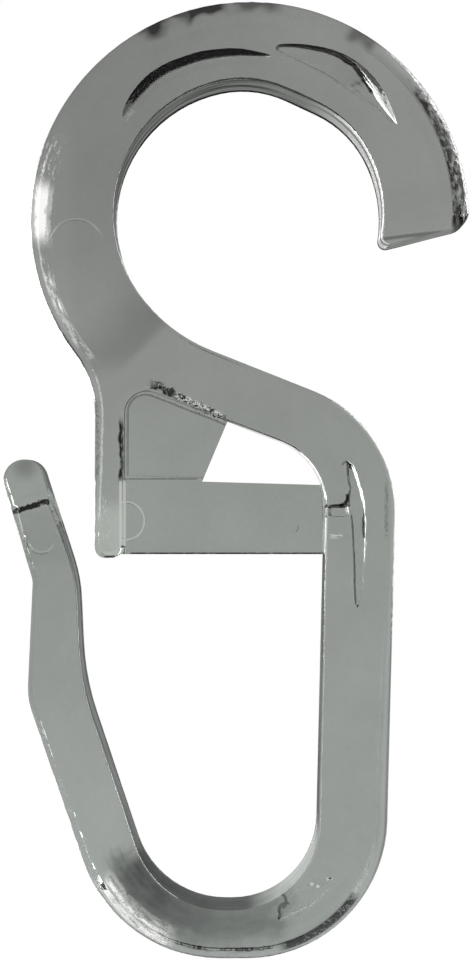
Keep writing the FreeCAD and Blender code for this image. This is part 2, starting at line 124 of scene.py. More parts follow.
def inverse(tree, mask):
    return calc(tree, "SUBTRACT", 1.0, mask)


def ease(tree, value, start, end, low=0.0, high=1.0):
    """A smooth step from low to high as the value goes from start to end."""
    made = node(tree, "ShaderNodeMapRange", {
        "Value": value, "From Min": start, "From Max": end, "To Min": low, "To Max": high})
    made.interpolation_type = "SMOOTHSTEP"
    return made.outputs["Result"]


def band(tree, value, low, high, soft):
    """A mask between two values, with soft borders outside them."""
    return times(tree, ease(tree, value, low - soft, low), ease(tree, value, high + soft, high))


def rectangle(tree, first, second, box):
    """A mask over the ranges of two values."""
    return times(tree, band(tree, first, *box.first, box.soft_first),
                 band(tree, second, *box.second, box.soft_second))


def fade(tree, mask, to):
    """A factor that goes from 1 to another value as the mask goes from 0 to 1."""
    return add_scaled(tree, mask, to - 1.0, 1.0)


def blend(tree, mask, low, high):
    """Goes from one value to another as the mask goes from 0 to 1."""
    return add_scaled(tree, mask, calc(tree, "SUBTRACT", high, low), low)


def split(tree, vector):
    return node(tree, "ShaderNodeSeparateXYZ", {0: vector}).outputs


def speckle(tree, place, scale, detail):
    """Noise round zero, about 0.25 high and low."""
    made = node(tree, "ShaderNodeTexNoise", {"Vector": place, "Scale": scale, "Detail": detail})
    return calc(tree, "SUBTRACT", made.outputs["Fac"], 0.5)


class Spot:
    """Where a point of the surface lies, in mm, which way it faces, and noise at that place."""

    # How far a normal points along y where rims and walls begin and where they are full.
    RIM_FACING = (0.995, 0.86)
    WALL_FACING = (0.5, 0.2)
    # Kinds of noise: grains per mm and detail. Noise that is drawn out has a detail of its own.
    WISPS = (1.1, 3.0)
    COARSE = (1.3, 4.0)
    FINE = (5.0, 3.0)
    GRIT = (14.0, 2.0)
    DRAWN_DETAIL = 2.0
    # Mottle is grit with this share of the fine noise.
    FINE_SHARE = 0.5

    def __init__(self, tree):
        where = node(tree, "ShaderNodeTexCoord").outputs
        self.tree = tree
        scaled = node(tree, "ShaderNodeVectorMath", {0: where["Object"], "Scale": PER_MM},
                      operation="SCALE")
        self.place = scaled.outputs[0]
        self.x, self.y, self.z = split(tree, self.place)
        facing = calc(tree, "ABSOLUTE", split(tree, where["Normal"])[1])
        self.rim = ease(tree, facing, *self.RIM_FACING)
        self.wall = ease(tree, facing, *self.WALL_FACING)
        self.front = calc(tree, "LESS_THAN", self.y, 0.0)
        self.wisps = speckle(tree, self.place, *self.WISPS)
        self.coarse = speckle(tree, self.place, *self.COARSE)
        self.fine = speckle(tree, self.place, *self.FINE)
        self.grit = speckle(tree, self.place, *self.GRIT)

    def polar(self, centre, side=1):
        """Distance and angle from a centre."""
        tree = self.tree
        dx = times(tree, calc(tree, "SUBTRACT", self.x, centre[0]), side)
        dz = calc(tree, "SUBTRACT", self.z, centre[1])
        squares = calc(tree, "ADD", times(tree, dx, dx), times(tree, dz, dz))
        return calc(tree, "SQRT", squares), calc(tree, "DEGREES", calc(tree, "ARCTAN2", dz, dx))

    def arc(self, arc, side=1):
        """A mask along a round stroke."""
        radius, angle = self.polar(arc.centre, side)
        return times(self.tree, band(self.tree, angle, *arc.angles, arc.soft_angle),
                     band(self.tree, radius, *arc.radii, arc.soft_radius))

    def box(self, box):
        """A mask over an upright rectangle."""
        return rectangle(self.tree, self.x, self.z, box)

    def dot(self, centre, radius, soft):
        """A round mask."""
        return ease(self.tree, self.polar(centre)[0], radius + soft, radius)

    def dashes(self, centre, radius, length, width, side=1):
        """Noise drawn out along circles round a centre, for use near a radius."""
        tree = self.tree
        distance, angle = self.polar(centre, side)
        along = times(tree, angle, math.radians(radius) / length)
        place = node(tree, "ShaderNodeCombineXYZ", {0: along, 1: times(tree, distance, 1 / width)})
        return speckle(tree, place.outputs[0], 1.0, self.DRAWN_DETAIL)

    def stretched(self, scales, detail=DRAWN_DETAIL):
        """Noise with a scale of its own along each axis."""
        place = node(self.tree, "ShaderNodeVectorMath", {0: self.place, 1: scales}, operation="MULTIPLY")
        return speckle(self.tree, place.outputs[0], 1.0, detail)

    def grains(self, width, height):
        """Noise with grains of a width and a height."""
        return self.stretched((1 / width, 1.0, 1 / height))

    def mottle(self, low, high):
        """A mask of small grains, between two values of the noise."""
        return ease(self.tree, add_scaled(self.tree, self.fine, self.FINE_SHARE, self.grit), low, high)

    def slanted(self, point, degrees):
        """Distances along and across a line through a point."""
        tree = self.tree
        dx = calc(tree, "SUBTRACT", self.x, point[0])
        dz = calc(tree, "SUBTRACT", self.z, point[1])
        cosine = math.cos(math.radians(degrees))
        sine = math.sin(math.radians(degrees))
        along = calc(tree, "ADD", times(tree, dx, cosine), times(tree, dz, sine))
        across = calc(tree, "SUBTRACT", times(tree, dz, cosine), times(tree, dx, sine))
        return along, across


def new_material(name, ior=IOR):
    material = bpy.data.materials.new(name)
    material.use_nodes = True
    tree = material.node_tree
    shader = tree.nodes["Principled BSDF"]
    shader.inputs["Transmission Weight"].default_value = 1
    shader.inputs["IOR"].default_value = ior
    shader.inputs["Roughness"].default_value = 0.0
    return material, tree, shader


def place_camera():
    data = bpy.data.cameras.new("camera")
    data.sensor_width = SENSOR
    data.lens = SENSOR * CAMERA_DISTANCE / (FRAME_HEIGHT * PIXEL)
    data.clip_start = NEAREST_SEEN
    camera = bpy.data.objects.new("camera", data)
    across = (FRAME_WIDTH / 2 - EYE_PIXEL[0]) * PIXEL
    down = (FRAME_HEIGHT / 2 - EYE_PIXEL[1]) * PIXEL
    camera.location = (across, -CAMERA_DISTANCE, -down)
    camera.rotation_euler = (math.radians(90), 0, 0)
    bpy.context.scene.collection.objects.link(camera)
    bpy.context.scene.camera = camera


def height_tint(tree, height):
    """The smoke tint, a little lighter towards the bottom of the hook."""
    low, high = TINT_BY_HEIGHT[0][0], TINT_BY_HEIGHT[-1][0]
    place = node(tree, "ShaderNodeMapRange", {"Value": height, "From Min": low, "From Max": high})
    ramp = node(tree, "ShaderNodeValToRGB", {0: place.outputs["Result"]})
    elements = ramp.color_ramp.elements
    for z, colour in TINT_BY_HEIGHT[1:-1]:
        elements.new((z - low) / (high - low)).color = (*colour, 1)
    elements[0].color = (*TINT_BY_HEIGHT[0][1], 1)
    elements[-1].color = (*TINT_BY_HEIGHT[-1][1], 1)
    return ramp.outputs["Color"]


# Painted shade: the dark streak in the bend. Its fine dashes (centre, radius, length, width), the angles over
# which it starts, ends and grows weaker, and the radii over which it starts and ends.
STREAK_DASHES = (BEND_CENTRE, 4.2, 1.6, 0.22)
STREAK_START = (-164.0, -144.0)
STREAK_END = (-52.0, -72.0)
STREAK_WEAKER = (-85.0, -130.0, 0.66, 1.0)
STREAK_INSIDE = (3.20, 3.50)
STREAK_OUTSIDE = (5.20, 4.65)
# How far noise moves its ends in degrees and its sides in mm, and how its darkness varies round a mean.
STREAK_WISP_DEGREES = 40.0
STREAK_DASH_DEGREES = 14.0
STREAK_WISP_REACH = 0.8
STREAK_DARKNESS = 0.92
STREAK_COARSE = 0.6
STREAK_BRUSH = 0.5


def bend_painted_shade(tree, spot):
    """Painted shade in the lower bend: a dark streak with wavy sides and fine dashes."""
    radius, angle = spot.polar(BEND_CENTRE)
    bend_dashes = spot.dashes(*STREAK_DASHES)
    angle = add_scaled(tree, bend_dashes, STREAK_DASH_DEGREES, angle)
    angle = add_scaled(tree, spot.wisps, STREAK_WISP_DEGREES, angle)
    radius = add_scaled(tree, spot.wisps, STREAK_WISP_REACH, radius)
    along = times(tree, ease(tree, angle, *STREAK_START), ease(tree, angle, *STREAK_END),
                  ease(tree, angle, *STREAK_WEAKER))
    across = times(tree, ease(tree, radius, *STREAK_INSIDE), ease(tree, radius, *STREAK_OUTSIDE))
    brushed = add_scaled(tree, bend_dashes, STREAK_BRUSH, STREAK_DARKNESS)
    brushed = add_scaled(tree, spot.coarse, STREAK_COARSE, brushed)
    return times(tree, along, across, brushed)


# The shade across the neck: the line of its sharper side, how far it reaches on both sides of that line,
# and where it ends below and at the right.
NECK_SLOPE = 46.2
NECK_SOFT_SIDE = (-2.2, 0.1)
NECK_SHARP_SIDE = (0.75, 0.35)
NECK_FOOT = (-6.4, -4.9)
NECK_RIGHT = (0.5, -1.5)
NECK_WAVE = 0.3


def neck_shade(tree, spot):
    """The soft shade across the neck, with its sharper side towards the neck."""
    across = spot.slanted(EYE_CENTRE, NECK_SLOPE)[1]
    slant = add_scaled(tree, spot.wisps, NECK_WAVE, times(tree, across, -1.0))
    shade = times(tree, ease(tree, slant, *NECK_SOFT_SIDE), ease(tree, slant, *NECK_SHARP_SIDE))
    return times(tree, shade, ease(tree, spot.z, *NECK_FOOT), ease(tree, spot.x, *NECK_RIGHT))


# Painted shade on the rim of the eye: angles (low, high, soft border), radii from clear to dark, strength.
RIM_SHADE_DASHES = (EYE_CENTRE, 8.0, 0.5, 0.16)
RIM_SHADE_GRAIN_SHARE = 0.6
RIGHT_RIM_SHADE = ((-2.0, 35.0, 3.0), (7.58, 7.68))
RIGHT_RIM_SHADE_GRAIN = (-0.22, 0.06)
BACK_RIM_SHADE = ((-4.0, 52.0, 8.0), (7.8, 8.0), 0.9)
TOP_RIM_SHADES = [
    ((98.0, 106.0, 4.0), (7.40, 7.74), 1.0),
    ((114.0, 118.0, 4.0), (7.40, 7.74), 1.0),
    ((98.0, 119.0, 4.0), (7.55, 7.90), 0.9),
    ((84.0, 92.0, 5.0), (7.42, 7.85), 0.85),
    ((54.5, 59.5, 3.0), (7.36, 7.85), 0.8),
]
# The wavy border of the painted shade at the top: its noise (waves per mm, detail), and how far that
# moves it in mm.
TOP_SHADE_WAVES = (1.6, 0.0)
TOP_SHADE_WAVE = 0.7


def eye_rim_painted_shade(tree, spot):
    """Painted shade on the rim of the eye: dark mottled places at its right, and dark places at its top."""
    radius, angle = spot.polar(EYE_CENTRE)
    dashes = calc(tree, "ADD", spot.dashes(*RIM_SHADE_DASHES), times(tree, spot.fine, RIM_SHADE_GRAIN_SHARE))
    angles, radii = RIGHT_RIM_SHADE
    right = times(tree, band(tree, angle, *angles), ease(tree, radius, *radii),
                  ease(tree, dashes, *RIGHT_RIM_SHADE_GRAIN))
    wavy = add_scaled(tree, speckle(tree, spot.place, *TOP_SHADE_WAVES), TOP_SHADE_WAVE, radius)
    top_shades = [
        times(tree, band(tree, angle, *angles), ease(tree, wavy, *radii), strength)
        for angles, radii, strength in TOP_RIM_SHADES]
    in_front = times(tree, highest(tree, right, *top_shades), spot.front)
    angles, radii, strength = BACK_RIM_SHADE
    behind = times(tree, band(tree, angle, *angles), ease(tree, radius, *radii), strength)
    return highest(tree, in_front, times(tree, behind, inverse(tree, spot.front)))


# The ejector marks: centre and radius in mm. Each lip shows on a part of its circle, also as a painted
# highlight.
EYE_PIN = ((-6.44, -1.25), 1.05)
BAR_PIN = ((-4.61, -11.49), 0.71)
ARM_PIN = ((-7.74, -12.15), 0.50)
LIP_HALF = 0.015
LIP_SOFT = 0.03
EYE_LIP = (-1.0, -0.4, 0.0, 0.9)
ARM_LIP = (-12.2, -12.5, 0.0, 0.6)
BAR_LIP_DEPTH = -1.0
BAR_LIP_STRENGTH = 1.6


def pin_lip(tree, spot, centre, radius):
    return band(tree, spot.polar(centre)[0], radius - LIP_HALF, radius + LIP_HALF, LIP_SOFT)


def pin_lips(tree, spot):
    """The fine lines round the ejector marks on eye, crossbar and arm."""
    on_bar = calc(tree, "GREATER_THAN", spot.y, BAR_LIP_DEPTH)
    eye = times(tree, pin_lip(tree, spot, *EYE_PIN), ease(tree, spot.z, *EYE_LIP))
    bar = times(tree, pin_lip(tree, spot, *BAR_PIN), on_bar, BAR_LIP_STRENGTH)
    arm = times(tree, pin_lip(tree, spot, *ARM_PIN), ease(tree, spot.z, *ARM_LIP))
    return highest(tree, eye, bar, arm)


# Painted shade: dark strokes on the front that stand upright or lie level. For each: a box, the noise that
# breaks it up, strength.
DARK_BOXES = {
    "web_foot": (Box((-4.7, -1.95), (-9.93, -9.89), 0.05, 0.03), (-0.5, 0.1), 0.7),
    "bar_foot": (Box((-4.4, 2.85), (-12.76, -12.69), 0.05, 0.03), (-0.25, -0.05), 1.0),
    "post_side": (Box((-5.74, -5.60), (-9.7, -7.2), 0.06, 0.4), (-0.15, 0.15), 0.8),
    "leg_side": (Box((5.12, 5.20), (-11.8, -10.3), 0.06, 0.5), (-0.2, 0.2), 0.7),
}
# Painted shade: round dark strokes on the front. For each: an arc and strength.
DARK_ARCS = {
    "arm_mark": (Arc(ARM_PIN[0], (-118.0, -70.0), (0.53, 0.57), 12.0, 0.04), 0.5),
    "bar_dark_arc": (Arc((1.76, -11.76), (-75.0, 25.0), (0.10, 0.13), 15.0, 0.03), 0.5),
    "void_elbow": (Arc((3.39, -10.59), (-85.0, 15.0), (0.27, 0.36), 15.0, 0.04), 1.0),
    "void_top": (Arc((3.66, -9.42), (15.0, 165.0), (0.12, 0.17), 15.0, 0.03), 0.7),
    "bend_curl": (Arc((1.109, -25.685), (-50.0, 60.0), (0.27, 0.33), 15.0, 0.05), 0.8),
}
LOW_CURL = Arc((1.408, -26.02), (-20.0, 110.0), (0.23, 0.29), 15.0, 0.05)
LOW_CURL_STRENGTH = 0.8


def painted_shade_strokes(tree, spot):
    """Painted shade: dark strokes on crossbar, post, leg and arm, by the voids and in the bend."""
    boxes = [
        times(tree, spot.box(box), spot.mottle(*grain), strength)
        for box, grain, strength in DARK_BOXES.values()]
    arcs = [times(tree, spot.arc(arc), strength) for arc, strength in DARK_ARCS.values()]
    low_curl = times(tree, spot.arc(LOW_CURL, FROM_LEFT), LOW_CURL_STRENGTH)
    return highest(tree, *boxes, *arcs, low_curl)


# Painted shade round the web: one dark stroke beside the post, in x and z, and two along its upper border.
WEB_SIDE = Box((-4.80, -4.74), (-9.8, -7.9), 0.06, 0.4)
WEB_SIDE_GRAIN = (-0.22, -0.02)
WEB_CORNER = Box((-1.5, -0.8), (-0.06, 0.10), 0.35, 0.10)
WEB_CORNER_GRAIN = (-0.25, 0.0)
WEB_DARK = Box((-0.9, 1.36), (-0.10, 0.10), 0.15, 0.06)
WEB_DARK_GRAIN = (0.04, -0.08)
# How far noise moves these strokes sideways, in mm.
WEB_SIDE_WAVE = 0.35
WEB_BORDER_WAVE = 0.5


def web_painted_shade(tree, spot):
    """Painted shade: dark broken lines along the upper border of the web and beside the post."""
    wavy = add_scaled(tree, spot.coarse, WEB_SIDE_WAVE, spot.x)
    side = times(tree, rectangle(tree, wavy, spot.z, WEB_SIDE), ease(tree, spot.coarse, *WEB_SIDE_GRAIN))
    along, across = spot.slanted(*WEB_BORDER)
    across = add_scaled(tree, spot.fine, WEB_BORDER_WAVE, across)
    corner = times(tree, rectangle(tree, along, across, WEB_CORNER), spot.mottle(*WEB_CORNER_GRAIN))
    dark = times(tree, rectangle(tree, along, across, WEB_DARK), spot.mottle(*WEB_DARK_GRAIN))
    return highest(tree, side, corner, dark)


# Painted shade at the arm's tip and at the mouth: dark strokes along and across their lines.
CREASE = Box((-0.74, 0.66), (-0.09, 0.09), 0.08, 0.05)
CREASE_GRAIN = (-0.26, -0.06)
CREASE_WAVE = 0.3
MOUTH_DARK = Box((-1.25, 1.3), (-0.04, 0.04), 0.1, 0.05)
MOUTH_STRENGTH = 0.7
TIP_TOP = ((-8.38, -9.42), 0.12, 0.62)
TIP_TOP_STRENGTH = 0.55


def end_painted_shade(tree, spot):
    """Painted shade: the crease and the dark top of the arm's tip, and the edge of the mouth."""
    along, across = spot.slanted(*CREASE_LINE)
    across = add_scaled(tree, spot.fine, CREASE_WAVE, across)
    crease = times(tree, rectangle(tree, along, across, CREASE), ease(tree, spot.fine, *CREASE_GRAIN))
    along, across = spot.slanted(*MOUTH_LINE)
    mouth = times(tree, rectangle(tree, along, across, MOUTH_DARK), MOUTH_STRENGTH)
    tip_top = times(tree, spot.dot(*TIP_TOP), TIP_TOP_STRENGTH)
    return highest(tree, crease, mouth, tip_top)


# Painted shade: dark strokes on the rim of the bend, at its right and at its bottom.
BEND_RIM = Arc((-0.06, -22.62), (-72.0, -38.0), (4.84, 5.08), 6.0, 0.10)
BEND_RIM_GRAIN = (-0.34, -0.06)
LOW_RIM = Arc(BEND_CENTRE, (-104.0, -76.0), (5.04, 5.14), 8.0, 0.06)
LOW_RIM_DASHES = (BEND_CENTRE, 5.2, 0.9, 0.12)
LOW_RIM_GRAIN = (-0.05, 0.2)
LOW_RIM_STRENGTH = 0.35


def bend_rim_painted_shade(tree, spot):
    """Painted shade: dark broken lines on the rim of the bend."""
    right = times(tree, spot.arc(BEND_RIM), spot.mottle(*BEND_RIM_GRAIN))
    dashes = ease(tree, spot.dashes(*LOW_RIM_DASHES), *LOW_RIM_GRAIN)
    return highest(tree, right, times(tree, spot.arc(LOW_RIM), dashes, LOW_RIM_STRENGTH))


def front_painted_shade(tree, spot):
    """All painted shade in dark strokes on the front."""
    strokes = highest(tree, painted_shade_strokes(tree, spot), web_painted_shade(tree, spot), end_painted_shade(tree, spot),
                      bend_rim_painted_shade(tree, spot))
    return times(tree, strokes, spot.front)


# Painted highlights: clear places on the eye's left rim, with angles from the left: a patch, and arcs of
# dashes with the noise between which they come up and their strength.
LEFT_DASHES = (LEFT_RIM_CENTRE, 7.9, 0.55, 0.11)
LEFT_GRIT_SHARE = 0.5
LEFT_PATCH_WAVE = 0.4
LEFT_PATCH_ANGLES = (-2.0, 8.0, 5.0)
LEFT_PATCH_RADII = (7.54, 7.68)
LEFT_ARCS = [
    (Arc(LEFT_RIM_CENTRE, (10.0, 22.0), (7.66, 8.1), 4.0, 0.1), (0.04, 0.24), 0.8),
    (Arc(LEFT_RIM_CENTRE, (-15.0, -5.0), (7.74, 7.98), 3.0, 0.06), (0.02, 0.22), 0.8),
    (Arc(LEFT_RIM_CENTRE, (-38.0, -17.0), (7.76, 7.98), 4.0, 0.06), (-0.12, 0.14), 1.0),
]
# Painted highlights: clear dashes on the rim of the bend.
BEND_GLINT = Arc(BEND_CENTRE, (-147.0, -117.0), (4.98, 5.30), 7.0, 0.12)
BEND_GLINT_DASHES = (BEND_CENTRE, 5.2, 0.5, 0.12)
BEND_GLINT_GRAIN = (-0.16, 0.08)
BEND_GRIT_SHARE = 0.6


def rim_painted_highlights(tree, spot):
    """Painted highlights: clear white places and dashes along the rims, through the whole thickness."""
    dashes = calc(tree, "ADD", spot.dashes(*LEFT_DASHES, FROM_LEFT), times(tree, spot.grit, LEFT_GRIT_SHARE))
    radius, angle = spot.polar(LEFT_RIM_CENTRE, FROM_LEFT)
    ragged = add_scaled(tree, dashes, LEFT_PATCH_WAVE, radius)
    patch = times(tree, band(tree, angle, *LEFT_PATCH_ANGLES), ease(tree, ragged, *LEFT_PATCH_RADII))
    arcs = [
        times(tree, spot.arc(arc, FROM_LEFT), ease(tree, dashes, *grain), strength)
        for arc, grain, strength in LEFT_ARCS]
    grit = times(tree, spot.grit, BEND_GRIT_SHARE)
    bend_dashes = calc(tree, "ADD", spot.dashes(*BEND_GLINT_DASHES), grit)
    glint = times(tree, spot.arc(BEND_GLINT), ease(tree, bend_dashes, *BEND_GLINT_GRAIN))
    return highest(tree, patch, *arcs, glint)


# Painted highlights: clear places on the front. The first lies along and across the upper border of the web.
WEB_GLINT = Box((-0.5, 1.2), (-0.10, 0.12), 0.2, 0.04)
WEB_GLINT_GRAIN = (0.02, 0.11)
POST_SPARK = Box((-5.52, -5.15), (-12.0, -10.7), 0.12, 0.3)
POST_GRAIN_SIZE = (0.05, 0.16)
POST_SPARK_GRAIN = (0.04, 0.24)
POST_SPARK_STRENGTH = 0.7
POST_LINES = [
    Box((-4.81, -4.76), (-12.6, -10.05), 0.03, 0.1),
    Box((-4.68, -4.62), (-12.6, -10.05), 0.03, 0.1),
]
POST_LINE_STRENGTH = 0.7
LEG_SPARK = Box((3.08, 3.46), (-12.10, -12.02), 0.1, 0.07)
LEG_GRAIN_SIZE = (0.3, 0.05)
LEG_SPARK_GRAIN = (-0.14, 0.10)
LEG_SPARK_STRENGTH = 0.9
TIP_LINE = Arc((-8.30, -9.95), (0.0, 45.0), (0.70, 0.76), 12.0, 0.04)
TIP_LINE_GRAIN = (-0.10, 0.12)
TIP_LINE_STRENGTH = 0.8
# Painted sparkles: small white dots by the void in the bend: centres, radius and soft border.
BEND_SPARKS = ((2.38, -25.05), (2.60, -25.14), (2.98, -24.86))
SPARK_RADIUS = 0.04
SPARK_SOFT = 0.04
LIP_HIGHLIGHT = 0.35


def painted_highlights(tree, spot):
    """Painted highlights: white places on the front at the border of the web, sides of post and leg and the
    ejector marks, and on the rims.
    """
    along, across = spot.slanted(*WEB_BORDER)
    web_glint = times(tree, rectangle(tree, along, across, WEB_GLINT), spot.mottle(*WEB_GLINT_GRAIN))
    post_grains = ease(tree, spot.grains(*POST_GRAIN_SIZE), *POST_SPARK_GRAIN)
    post_spark = times(tree, spot.box(POST_SPARK), post_grains, POST_SPARK_STRENGTH)
    post_lines = [times(tree, spot.box(line), POST_LINE_STRENGTH) for line in POST_LINES]
    leg_grains = ease(tree, spot.grains(*LEG_GRAIN_SIZE), *LEG_SPARK_GRAIN)
    leg_spark = times(tree, spot.box(LEG_SPARK), leg_grains, LEG_SPARK_STRENGTH)
    tip_line = times(tree, spot.arc(TIP_LINE), spot.mottle(*TIP_LINE_GRAIN), TIP_LINE_STRENGTH)
    sparks = [spot.dot(centre, SPARK_RADIUS, SPARK_SOFT) for centre in BEND_SPARKS]
    # Painted highlights on the lips of the ejector marks.
    lips = times(tree, pin_lips(tree, spot), LIP_HIGHLIGHT)
    places = highest(tree, web_glint, post_spark, *post_lines, leg_spark, tip_line, *sparks, lips)
    return highest(tree, times(tree, places, spot.front), rim_painted_highlights(tree, spot))


# Parts of the hook that are lighter or darker: x and z over which the change comes up, and its factor.
LOCAL_TINTS = {
    "right_of_eye": ((-5.0, 7.0), (-5.0, -1.0), 1.22),
    "foot_of_arm": ((-4.0, -5.0), (-17.0, -21.0), 1.08),
    "tip_of_arm": ((-6.4, -7.0), (-11.3, -10.8), 1.07),
}
UNDER_TIP_X = (-6.2, -6.8)
UNDER_TIP_Z = (-12.8, -11.3, 0.5)
UNDER_TIP_FACTOR = 0.94
# Painted light: the foot of the post is lighter in front.
POST_FOOT = Box((-5.8, -4.74), (-13.0, -11.4), 0.1, 0.9)
POST_FOOT_FACTOR = 1.7


def local_tints(tree, spot):
    """A factor for the tint that differs from part to part of the hook, with painted light at the foot of the
    post.
    """
    factors = [
        fade(tree, times(tree, ease(tree, spot.x, *x_range), ease(tree, spot.z, *z_range)), factor)
        for x_range, z_range, factor in LOCAL_TINTS.values()]
    under_tip = times(tree, ease(tree, spot.x, *UNDER_TIP_X), band(tree, spot.z, *UNDER_TIP_Z))
    post_foot = times(tree, spot.box(POST_FOOT), spot.front)
    return times(tree, *factors, fade(tree, under_tip, UNDER_TIP_FACTOR),
                 fade(tree, post_foot, POST_FOOT_FACTOR))


# How much light is left in the places of painted shade, and how much clouds and grain change the tint.
STREAK_LIGHT = 0.26
NECK_LIGHT = 0.74
RIM_SHADE_LIGHT = 0.025
STROKE_LIGHT = 0.003
CLOUD_NOISE = (0.35, 2.0)
CLOUDS = (-0.2, 0.2, 0.96, 1.04)
GRAIN = 0.10
# The sockets of a Mix node that mixes colours.
MIX_FIRST = 6
MIX_SECOND = 7
MIX_RESULT = 2


def surface_colour(tree, spot, wall_shade):
    """The smoke tint with its painted shade and painted highlights."""
    shade = times(tree, fade(tree, bend_painted_shade(tree, spot), STREAK_LIGHT),
                  fade(tree, neck_shade(tree, spot), NECK_LIGHT),
                  fade(tree, eye_rim_painted_shade(tree, spot), RIM_SHADE_LIGHT),
                  fade(tree, front_painted_shade(tree, spot), STROKE_LIGHT))
    clouds = ease(tree, speckle(tree, spot.place, *CLOUD_NOISE), *CLOUDS)
    grain = add_scaled(tree, spot.fine, GRAIN, add_scaled(tree, spot.grit, GRAIN, 1.0))
    shade = times(tree, shade, local_tints(tree, spot), clouds, grain, wall_shade)
    tint = node(tree, "ShaderNodeVectorMath", {0: height_tint(tree, spot.z), "Scale": shade},
                operation="SCALE")
    mixed = node(tree, "ShaderNodeMix", data_type="RGBA")
    tree.links.new(painted_highlights(tree, spot), mixed.inputs["Factor"])
    tree.links.new(tint.outputs[0], mixed.inputs[MIX_FIRST])
    mixed.inputs[MIX_SECOND].default_value = HIGHLIGHT_COLOUR
    return mixed.outputs[MIX_RESULT]


# Relief in mm: of the noise on the rims, of the same noise on flat faces as a share, and of lines and lips.
COARSE_RELIEF = 0.10
FINE_RELIEF = 0.05
FLAT_SHARE = 0.01
LINE_RELIEF = 0.02
LIP_RELIEF = 0.015
# The right rim of the eye has the full relief, and the other rims have a share of it.
ROUGH_RIM_ANGLES = (-4.0, 38.0, 4.0)
SMOOTH_RIM_SHARE = 0.25


def surface_relief(tree, spot, lines):
    """Relief in mm: mottled rims, lines along the side walls, and the lips of the ejector marks."""
    angle = spot.polar(EYE_CENTRE)[1]
    share = blend(tree, band(tree, angle, *ROUGH_RIM_ANGLES), SMOOTH_RIM_SHARE, 1.0)
    rim = times(tree, spot.rim, share)
    rough = add_scaled(tree, spot.coarse, COARSE_RELIEF, times(tree, spot.fine, FINE_RELIEF))
    rough = times(tree, rough, add_scaled(tree, rim, 1 - FLAT_SHARE, FLAT_SHARE))
    relief = add_scaled(tree, times(tree, lines, spot.wall), LINE_RELIEF, rough)
    return add_scaled(tree, times(tree, pin_lips(tree, spot), spot.front), LIP_RELIEF, relief)


# Lines on the outer and the inner walls: scales along x, y and z, and the detail of the inner ones.
OUTER_LINES = (0.22, 3.2, 0.22)
INNER_LINES = (0.25, 4.5, 0.25)
INNER_LINE_DETAIL = 3.0
# The outer walls' shade by their lines (noise from and to, factors there), and the inner walls' green cast.
OUTER_WALL_SHADE = (-0.12, 0.12, 0.9, 1.8)
INNER_GREEN = 1.04


def clear_plastic():
    """The smoke-grey plastic, with lined side walls and mottled rims."""
    material, tree, shader = new_material("clear_plastic")
    spot = Spot(tree)
    lines = spot.stretched(OUTER_LINES)
    wall_shade = blend(tree, spot.wall, 1.0, ease(tree, lines, *OUTER_WALL_SHADE))
    tree.links.new(surface_colour(tree, spot, wall_shade), shader.inputs["Base Color"])
    tree.links.new(times(tree, spot.wall, WALL_ROUGHNESS), shader.inputs["Roughness"])
    bump = node(tree, "ShaderNodeBump", {
        "Strength": 1.0, "Distance": MM, "Height": surface_relief(tree, spot, lines)})
    tree.links.new(bump.outputs["Normal"], shader.inputs["Normal"])
    return material


def plain_edge():
    """Small edges that bend no light: the plastic's colours and painted strokes, without the shine of a sharp
    edge.
    """
    material, tree, shader = new_material("plain_edge", PLAIN_IOR)
    tree.links.new(surface_colour(tree, Spot(tree), 1.0), shader.inputs["Base Color"])
    return material


# Painted shade on the inner walls: noise of the lines from and to, and the tones there.
LINED_WALL = (-0.14, 0.16, 0.012, 0.20)
# In the bend: radii and heights over which its wall starts, tone by angle, and the lines as a factor.
BEND_WALL_RADII = (4.2, 3.9)
BEND_WALL_HEIGHTS = (-22.5, -24.0)
BEND_WALL_TONE = (-78.0, -55.0, 0.07, 0.8)
BEND_WALL_LINES = (-0.2, 0.2, 0.75, 1.25)
# At the mouth: radii, x and heights over which its wall starts, lines with their tones, and tone by depth.
MOUTH_RADII = (5.1, 5.3)
MOUTH_RIGHT = (4.2, 4.6)
MOUTH_HEIGHTS = (-6.0, -5.0)
MOUTH_LINES = (-0.16, 0.16, 0.05, 0.3)
MOUTH_DEPTHS = (0.95, 0.75, 0.1, 1.0)
# Painted light by the eye's bright strips: their depths, the angles and radii where they end, and their tone.
GLOW_DEPTHS = ((-0.25, 0.75, 0.05), (-1.3, -0.75, 0.05))
GLOW_TOP = (66.0, 42.0)
GLOW_FOOT = (-30.0, -20.0)
GLOW_RADII = (5.3, 5.15)
GLOW_TONE = 0.7


def inner_wall_shade(tree, spot, lines):
    """Painted shade on an inner wall: lined, even in the bend, lighter at the mouth and by the bright strips.
    """
    tone = ease(tree, lines, *LINED_WALL)
    radius, angle = spot.polar(BEND_CENTRE)
    in_bend = times(tree, ease(tree, radius, *BEND_WALL_RADII), ease(tree, spot.z, *BEND_WALL_HEIGHTS))
    bend_tone = times(tree, ease(tree, angle, *BEND_WALL_TONE), ease(tree, lines, *BEND_WALL_LINES))
    tone = blend(tree, in_bend, tone, bend_tone)
    radius, angle = spot.polar(EYE_CENTRE)
    at_mouth = times(tree, ease(tree, radius, *MOUTH_RADII), ease(tree, spot.x, *MOUTH_RIGHT),
                     ease(tree, spot.z, *MOUTH_HEIGHTS))
    mouth_tone = times(tree, ease(tree, lines, *MOUTH_LINES), ease(tree, spot.y, *MOUTH_DEPTHS))
    tone = blend(tree, at_mouth, tone, mouth_tone)
    strips = highest(tree, *[band(tree, spot.y, *depths) for depths in GLOW_DEPTHS])
    glow = times(tree, strips, ease(tree, angle, *GLOW_TOP), ease(tree, radius, *GLOW_RADII),
                 ease(tree, angle, *GLOW_FOOT))
    return blend(tree, glow, tone, GLOW_TONE)


